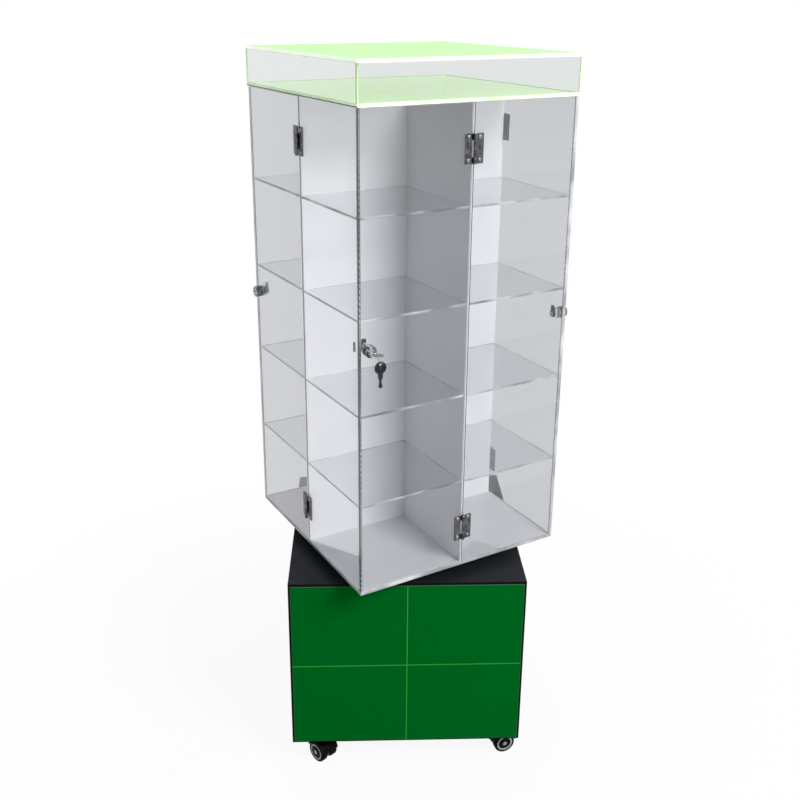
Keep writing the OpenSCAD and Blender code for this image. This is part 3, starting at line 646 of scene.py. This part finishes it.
def lockPlug():
    # The turning plug: its front is cut by the keyway, its back carries the cam's screw
    radius, back, split, edge, tail = pick(lock, "plugRadius plugBack plugSplit plugEdge tail")
    width, height = lock["keyway"]
    keyway = roundedBox((-width / 2, -height / 2), (width / 2, height / 2), edge)
    face = lock["headLength"] - lock["plugIn"]
    front = slab(circle((0, 0), radius), split, face, lock["plugArris"], holes=[keyway[::-1]])
    rear = turned([(tail, -back - lock["tailEnd"]), (tail, -back), (radius - edge, -back),
                   (radius, -back + edge), (radius, split - edge), (radius - edge, split)])
    places, faces = panScrew(1.0)
    scale = lock["capScale"]
    cap = moved((places * (scale, -scale, -1.0), faces), (0, 0, -back - lock["camThick"]))
    return [front, rear, cap]


def lockCam():
    # A round hub that runs into a straight tongue with round corners, and a hole for its screw
    halfWidth, hub = lock["camWidth"] / 2, lock["camHub"]
    meet = np.degrees(np.arccos(halfWidth / hub))
    tongue = roundedBox((-halfWidth, 0), (halfWidth, lock["camReach"]), lock["camCorner"], 5)
    outline = np.concatenate([arc((0, 0), hub, 180 - meet, 360 + meet, 30), tongue[5:15]])
    low = -lock["plugBack"] - lock["camThick"]
    hole = circle((0, 0), lock["camHole"], 24, True)
    return slab(outline, low, -lock["plugBack"] - 0.02, lock["camArris"], holes=[hole])


def ringNut():
    # A round nut with fine notches in its rim: the radius falls by a raised cosine of their number times a
    outer, seat, edge = lock["nutRadius"], -tower["glaze"], lock["nutEdge"]
    profile = bushProfile(lock["holeRadius"], outer, seat - lock["nutThick"], seat - lock["seat"], edge)

    def notches(radius, z, a):
        wave = 0.5 + 0.5 * np.cos(lock["notches"] * a)
        return -lock["notchDepth"] * wave * (radius > outer - 0.4)

    return turned(profile, 144, ring=True, ripple=notches)


def makeDoors():
    # One door with its leaves, screws and lock, turned to each of the four sides
    half, glaze, gap, corner = pick(tower, "half glaze doorGap sheetCorner")
    outline = roundedBox((-half, doorLow[2]), (-gap / 2, doorHigh[2]), corner)
    hole = circle((lock["x"], lock["z"]), lock["holeRadius"], clockwise=True)
    panel = upright(slab(outline, -glaze, 0, tower["arris"], holes=[hole]))
    fasteners = [(shell, zinc) for shell in hingeScrews(-1)] + [(atLock(ringNut()), chrome)]
    housing = [(atLock(shell), finish) for shell, finish in lockHousing()]
    plug = [(atLock(shell), bearingSteel) for shell in lockPlug()]
    pieces = (
        ("door", "door_panel", "door", "clear_acrylic", [(panel, (clearAcrylic, doorEdge))]),
        ("doorLeaves", "door_leaves", "door", "nickel", [(shell, nickel) for shell in hingeLeaf(-1)]),
        ("doorFasteners", "door_fasteners", "door", "chrome", fasteners),
        ("lockHousing", "lock_housing", "door", "chrome", housing),
        ("lockPlug", "lock_plug", "lock", "bearing_steel", plug),
        ("lockCam", "lock_cam", "lock", "nickel", [(atLock(lockCam()), blackNickel)]))
    for i, side in enumerate(sideNames):
        for name, node, body, slot, shells in pieces:
            addPiece(name + side.capitalize(), [(onSide(shell, i), finish) for shell, finish in shells],
                     f"{body}_{side}", slot, f"{node}_{side}")


# Keys: a key lies flat in XY, its bow round the origin and its blade down Y

key = dict(thick=2.0, bow=10.0, rim=1.5, hole=2.8, neck=8.0, blade=4.4, tip=6.2, bowOut=18.0,
           frontNeck=7.7, frontBlade=18.7, spareNeck=8.0, spareBlade=14.5,
           cuts=(0.0, 0.5, 0.5, 0.1, 0.1, 0.75, 0.75, 0.2, 0.2), bulbTurn=12, rimIn=1.2, rimCut=1.3,
           boss=1.25, webShare=0.36, bladeShare=0.4, arris=0.3, webArris=0.1, bladeArris=0.2)
ringShape = dict(radius=5.5, wire=0.7, tall=0.85, wide=0.44, start=70, step=14, up=-3.3, out=37.65,
                 spareLift=0.3)


def keyShells(neckLength, bladeLength):
    # A round bow with a raised rim, a waisted neck and a blade that ends in a small round bulb
    bow, thick, hole, arris, spread = pick(key, "bow thick hole arris bulbTurn")
    neck, blade, tip = (width / 2 for width in pick(key, "neck blade tip"))
    holeAt = (0, bow - key["rim"] - hole)
    shoulder = np.degrees(np.arcsin(neck / bow))
    neckEnd = -bow - neckLength
    tipEnd = neckEnd - bladeLength
    rightSide = [(blade, neckEnd + 0.2), (neck - 0.9, neckEnd + 0.5), (neck, neckEnd + 1.4)]
    leftSide = [(-x, y) for x, y in rightSide[::-1]]
    grip = np.concatenate([arc((0, 0), bow, -90 + shoulder, 270 - shoulder, 56), leftSide, rightSide])
    bulb = arc((0, tipEnd + tip), tip, 180 - spread, 360 + spread, 18)
    along = np.linspace(tipEnd + 2 * tip + 0.6, neckEnd - 1.2, len(key["cuts"]))
    bitted = np.column_stack([blade - np.array(key["cuts"]), along])
    plain = [(-blade, along[-1]), (-blade, along[0])]
    shank = np.concatenate([bulb, bitted, [(blade, neckEnd + 2), (-blade, neckEnd + 2)], plain])
    hollow = circle(holeAt, hole, 32, True)
    cut = arc((0, 0), bow - key["rimCut"], -90, 270, 57)[:-1]
    return [slab(outline, -share * thick, share * thick, edge, holes=[inside] if len(inside) else [])
            for outline, share, edge, inside in (
                (grip, 0.5, arris, cut[::-1]),
                (circle((0, 0), bow - key["rimIn"], 56), key["webShare"], key["webArris"], hollow),
                (circle(holeAt, hole + key["boss"], 32), 0.5, arris, hollow),
                (shank, key["bladeShare"], key["bladeArris"], ()))]


def splitRing():
    # Flat wire wound twice: the angle runs over two turns, the wire steps sideways in the middle of them,
    # and its section is an ellipse. The ends are closed by flat caps
    turns, sides = 97, 12
    wire, tall, wide, start, step = pick(ringShape, "wire tall wide start step")
    t = np.linspace(0, 1, turns)[:, None]
    v = 2 * np.pi * np.arange(sides)[None, :] / sides
    angle = 4 * np.pi * t + np.radians(start)
    out = ringShape["radius"] + tall * wire * np.cos(v)
    x = wide * wire * np.sin(v) + 0.5 * wire * np.tanh(step * (t - 0.5))
    points = np.stack([x, out * np.sin(angle), out * np.cos(angle)], axis=-1).reshape(-1, 3)
    ends = np.arange(sides)
    faces = [gridFaces(turns, sides, closeCols=True), ends[None, ::-1], ends[None, :] + (turns - 1) * sides]
    return points + (0, ringShape["up"], ringShape["out"]), faces


def makeKeys():
    # The key in the front lock, the ring in its bow and the spare key on the ring
    up, radius, wire, lift, out = pick(ringShape, "up radius wire spareLift out")
    bowUp = up - radius + wire + lift + key["rim"] - key["bow"]
    bowAt = (0, 0, lock["headLength"] + key["bowOut"])
    first = [moved(upright(shell), bowAt) for shell in keyShells(key["frontNeck"], key["frontBlade"])]
    spare = keyShells(key["spareNeck"], key["spareBlade"])
    spare = [moved(shell, (0, bowUp, out)) for shell in spare]
    for name, shells, finish, body, slot, node in (
            ("keyInLock", first, chrome, "key", "chrome", "door_key"),
            ("splitKeyRing", [splitRing()], chrome, "ring", "chrome", "key_ring"),
            ("spareKey", spare, blackNickel, "spare", "nickel", "spare_key")):
        addPiece(name, [(onSide(atLock(shell), 0), finish) for shell in shells], body, slot, node)


# Base cabinet, turned under the tower

base = dict(
    width=416.0, turn=-28.3, board=15.0, sheet=2.0, sheetGap=0.05, sheetCorner=0.8, sheetArris=0.5,
    border=4.0, arris=0.8, wallArris=0.5, joint=0.1,
    low=boxOf("base_bottom_board")[0][2], top=boxOf("base_top_board")[1][2])
caster = dict(
    inset=42.0, turns=(312, 16, 35, 200), signs=((-1, -1), (1, -1), (1, 1), (-1, 1)), trail=18.0, wheel=20.0,
    wheelWidth=13.9, wheelOut=4.0, tread=3.2, rimShare=0.76, hubShare=0.30, ringShare=0.60, fork=7.0,
    axle=3.05, axlePin=3.0, pinEdge=0.3, cap=3.95, capRise=1.5, capFall=0.9, hood=21.2, hoodThick=2.2,
    hoodLow=14, hoodSide=0.1, hoodRound=1.8, hoodFold=1.0, hoodLip=0.2, hoodWall=0.9, foldIn=2.3,
    stem=5.0, stemEdge=0.8, socket=8.15, top=54.0, stemTop=69.0, crown=10.0, crownHeight=6.0, boss=3.0,
    bossEdge=0.8, ribIn=1.0, ribArris=0.6, neck=(-8, 13), neckLow=4.0, neckArris=0.8, dish=1.6,
    dishEdge=1.2, discIn=0.4, ringLap=0.05, ringIn=(2.0, 0.25), ringEdge=0.3)


def atBase(shell):
    # From the base's own directions to the frame's
    return turnedAbout(shell[0], base["turn"]), shell[1]


def makeBase():
    # Boards and sheet in the base's own directions, each then turned under the tower
    half, border = base["width"] / 2, base["border"]
    board, low, top, arris, joint, wallArris = pick(base, "board low top arris joint wallArris")
    lid = block((-half, -half, top - board), (half, half, top), arris)

    at = half - caster["inset"]
    sockets = [circle((sx * at, sy * at), caster["socket"], 32, True) for sx, sy in caster["signs"]]
    outline = roundedBox((-half, -half), (half, half), cornerShare * arris)
    bottom = slab(outline, low, low + board, arris, holes=sockets)

    walls = []
    z0, z1, reach = low + board + joint / 2, top - board - joint / 2, half - board - joint
    for s in (-1, 1):
        inner, outer = sorted((s * (half - board), s * half))
        walls.append(block((inner, -half, z0), (outer, half, z1), wallArris))
        walls.append(block((-reach, inner, z0), (reach, outer, z1), wallArris))

    reach = half - border
    outline = roundedBox((-reach, low + border), (reach, top - border), base["sheetCorner"])
    sheet = upright(slab(outline, half + base["sheetGap"], half + base["sheet"], base["sheetArris"]))
    for name, shells, finish, slot, node in (
            ("baseTopBoard", [lid], (laminate, blackBand), "board", "base_top_board"),
            ("baseBottomBoard", [bottom], (laminate, blackBand), "board", "base_bottom_board"),
            ("baseWallBoards", walls, blackBand, "board", "base_wall_boards"),
            ("greenFrontSheet", [sheet], (frontGreen, greenEdge), "green_sheet", "base_front_sheet")):
        addPiece(name, [(atBase(shell), finish) for shell in shells], "base", slot, node)


def atCaster(shell, k):
    # From a caster's swivel axis, with its wheels trailing along X, to its corner of the base
    at = base["width"] / 2 - caster["inset"]
    sx, sy = caster["signs"][k]
    places = turnedAbout(shell[0], caster["turns"][k]) + np.array([sx * at, sy * at, 0])
    return turnedAbout(places, base["turn"]), shell[1]


def onAxle(shell):
    # From an axle along Z to the caster's own axle: (x, y, z) becomes (trail + x, -z, wheel radius + y)
    return moved(upright(shell), (caster["trail"], 0, caster["wheel"]))


def mirrored(shell):
    # The same shell on the other side of the axle's middle, with its faces turned right way out
    return shell[0] * (1, 1, -1), [faces[:, ::-1] for faces in shell[1]]


def casterHood():
    # The hood is a thin section with drawn-down sides, carried over the top of the wheels
    inner, bend, fold, low = pick(caster, "hood hoodRound hoodFold hoodLow")
    half = sum(pick(caster, "wheelOut wheelWidth hoodSide"))
    outer, lip, side = inner + caster["hoodThick"], inner - caster["hoodLip"], half - caster["hoodWall"]
    foldAt = half - caster["foldIn"]
    section = np.concatenate([
        arc((outer - bend, half - bend), bend, 0, 90, 6), [(lip, half), (lip, side)],
        arc((inner - fold, foldAt), fold, 60, 0, 4), arc((inner - fold, -foldAt), fold, 0, -60, 4),
        [(lip, -side), (lip, -half)], arc((outer - bend, -half + bend), bend, -90, 0, 6)])
    return turned(section, 49, span=(low, 180 - low), ring=True)


def casterFork():
    # Boss plate between the wheels, neck, crown under the plate and swivel stem
    wheel, top, crown, stem, edge, low = pick(caster, "wheel top crown stem stemEdge hoodLow")
    fork, under = caster["fork"] / 2, top - caster["crownHeight"]
    boss = onAxle(turned(pinProfile(wheel - caster["boss"], -fork, fork, caster["bossEdge"]), 56))
    web = arc((0, 0), caster["hood"] + caster["ribIn"], low, 180 - low, 40)
    rib = onAxle(slab(web, -fork, fork, caster["ribArris"]))
    behind, ahead = caster["neck"]
    neck = block((behind, -fork, wheel + caster["neckLow"]), (ahead, fork, top - 1), caster["neckArris"])
    profile = np.concatenate([
        [(5.5, under - 6), (6.5, under - 3)], arc((crown - 1, under + 1), 1, -60, 0, 4),
        arc((crown - 1, top - 1), 1, 0, 90, 5), [(stem, top)],
        arc((stem - edge, caster["stemTop"] - edge), edge, 0, 90, 4)])
    return [boss, rib, neck, turned(profile, 40)]


def casterWheel():
    # Half of a pair, outward along Z: tyre with a round tread, dished disc, grey ring, and a domed cap
    wheel, width, axle, tread, cap, out = pick(caster, "wheel wheelWidth axle tread cap wheelOut")
    rim, hub, ringIn = (share * wheel for share in pick(caster, "rimShare hubShare ringShare"))
    small, face = caster["discIn"], width - caster["dish"]
    tyreSection = np.concatenate([
        arc((wheel - tread, tread), tread, -90, 0, 8), arc((wheel - tread, width - tread), tread, 0, 90, 8),
        [(rim + small, width), (rim, width - 0.5), (rim, 0.5), (rim + small, 0.0)]])
    discSection = [(axle, small), (rim, small), (rim, face), (hub + caster["dishEdge"], face),
                   (hub, width - small), (axle, width - small / 2)]
    low, high = (width - back for back in caster["ringIn"])
    ringSection = bushProfile(ringIn, rim + caster["ringLap"], low, high, caster["ringEdge"])
    sections = ((tyreSection, tyre), (discSection, nylon), (ringSection, greyRim))
    shells = [(moved(turned(section, 64, ring=True), (0, 0, out)), finish) for section, finish in sections]
    start = out + width + 0.1
    r = np.linspace(cap, 0.15, 10)
    dome = np.column_stack([r, start + caster["capRise"] - caster["capFall"] * (r / cap) ** 3])
    return shells + [(turned(np.concatenate([[(cap - 0.1, start + 0.02)], dome]), 40), zinc)]


def makeCasters():
    # The same caster at each corner, swivelled by its own angle
    reach = caster["wheelOut"] + caster["wheelWidth"]
    axle = turned(pinProfile(caster["axlePin"], -reach, reach, caster["pinEdge"]), 32)
    for k, name in enumerate(cornerNames):
        label = name.title().replace("_", "")
        parts = casterFork() + [onAxle(casterHood())]
        addPiece(f"casterFork{label}", [(atCaster(shell, k), nylon) for shell in parts],
                 f"caster_{name}", "caster_nylon", f"caster_fork_{name}")
        shells = casterWheel()
        shells += [(mirrored(shell), finish) for shell, finish in shells] + [(axle, chrome)]
        addPiece(f"casterWheels{label}", [(atCaster(onAxle(shell), k), finish) for shell, finish in shells],
                 f"wheels_{name}", "caster_nylon", f"caster_wheels_{name}")


makeTowerSheets()
makeHeader()
makeFixedHinges()
makeDoors()
makeKeys()
print("Tower, doors and locks made")
makeBase()
makeCasters()
print("Base and casters made")


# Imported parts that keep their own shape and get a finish

keptFinishes = {
    "base_front_cross": stripeGreen, "base_screws": zinc, "caster_plates": zinc,
    "turntable_lower_plate": zinc, "turntable_upper_plate": zinc, "turntable_balls": bearingSteel,
    "turntable_disc": laminate}
for node, finish in keptFinishes.items():
    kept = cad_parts[node]
    kept.data.materials.clear()
    kept.data.materials.append(finish)
print("Packed parts finished:", len(keptFinishes))


# Floor, light and camera

stage = dict(floorHalf=9000.0, floorColour="#DDDDDE", white="#FFFFFF", nearGlow=0.92, nearReach=350.0,
             farReach=1200.0, fillColour="#FDFDFF", fillLight=0.34)


def seenShare(tree):
    # 1 where the camera looks, in mirrors and through glass too, and 0 for the light that falls on things
    path = addNode(tree, "LightPath").outputs
    seen = path["Is Camera Ray"]
    for ray in ("Is Glossy Ray", "Is Transmission Ray"):
        seen = addNode(tree, "Math", (seen, path[ray]), operation="MAXIMUM").outputs[0]
    return seen


# A matt pale floor, which the eye sees white but for the object's shadow
floorMaterial, tree, place = newMaterial("paleStudioFloor")
away = addNode(tree, "VectorMath", [place], operation="LENGTH").outputs["Value"]
ends = (stage["nearReach"] * mm, stage["farReach"] * mm, stage["nearGlow"])
whiter = addNode(tree, "MapRange", (away, *ends), interpolation_type="SMOOTHSTEP").outputs["Result"]
share = addNode(tree, "Math", (seenShare(tree), whiter), operation="MULTIPLY")
matte = addNode(tree, "BsdfDiffuse", {"Color": linear(stage["floorColour"])})
glow = addNode(tree, "Emission", {"Color": linear(stage["white"]), "Strength": 1.0})
mix = addNode(tree, "MixShader", (share.outputs[0], matte.outputs[0], glow.outputs[0]))
addNode(tree, "OutputMaterial", {"Surface": mix.outputs[0]})

reach = stage["floorHalf"] * mm
corners = [(-reach, -reach, 0), (reach, -reach, 0), (reach, reach, 0), (-reach, reach, 0)]
floorMesh = bpy.data.meshes.new("studioFloor")
floorMesh.from_pydata(corners, [], [(0, 1, 2, 3)])
floorMesh.materials.append(floorMaterial)
floor = bpy.data.objects.new("studioFloor", floorMesh)
scene.collection.objects.link(floor)

world = bpy.data.worlds.new("studio")
scene.world = world
world.use_nodes = True
tree = world.node_tree
tree.nodes.clear()
white = addNode(tree, "Background", {"Color": linear(stage["white"]), "Strength": 1.0})
fill = addNode(tree, "Background", {"Color": linear(stage["fillColour"]), "Strength": stage["fillLight"]})
mix = addNode(tree, "MixShader", (seenShare(tree), fill.outputs[0], white.outputs[0]))
addNode(tree, "OutputWorld", {"Surface": mix.outputs[0]})

lamps = {
    "keySoftbox": dict(
        place=(800, -3100, 3100), aim=(0, 0, 700), size=1600, power=182, colour="#FFFEFD", mirrored=True),
    "backSoftbox": dict(
        place=(900, 3100, 2200), aim=(0, 0, 700), size=2000, power=50, colour="#FFFFFF", mirrored=False),
    "topSoftbox": dict(
        place=(-300, -300, 3600), aim=(0, 0, 600), size=2200, power=12, colour="#FFFFFF", mirrored=True)}
for name, lamp in lamps.items():
    light = bpy.data.lights.new(name, "AREA")
    light.shape = "SQUARE"
    light.size = lamp["size"] * mm
    light.energy = lamp["power"]
    light.color = linear(lamp["colour"])[:3]
    holder = bpy.data.objects.new(name, light)
    turn = (Vector(lamp["aim"]) - Vector(lamp["place"])).to_track_quat("-Z", "Y")  # X stays level
    holder.matrix_world = Matrix.Translation(Vector(lamp["place"]) * mm) @ turn.to_matrix().to_4x4()
    holder.visible_glossy = holder.visible_transmission = lamp["mirrored"]
    scene.collection.objects.link(holder)

# The photograph's view, its crop kept as a small vertical shift
view = dict(place=(-883.3, -1482.3, 1357.2), yaw=-30.5, pitch=-19.5, roll=0.45, lens=45.545, shiftY=-0.0625)
turn = Matrix.Rotation(np.radians(view["yaw"]), 4, "Z")
turn @= Matrix.Rotation(np.radians(90 + view["pitch"]), 4, "X")
turn @= Matrix.Rotation(np.radians(view["roll"]), 4, "Z")
lens = bpy.data.cameras.new("photoView")
lens.lens = view["lens"]
lens.shift_y = view["shiftY"]
camera = bpy.data.objects.new("photoView", lens)
camera.matrix_world = Matrix.Translation(Vector(view["place"]) * mm) @ turn
scene.collection.objects.link(camera)
scene.camera = camera

scene.view_settings.view_transform = "Standard"
bounces, clearBounces = 40, 64  # a look through the tower crosses many sheets
scene.cycles.max_bounces = scene.cycles.transmission_bounces = bounces
scene.cycles.transparent_max_bounces = clearBounces
print("Floor, light and camera ready")
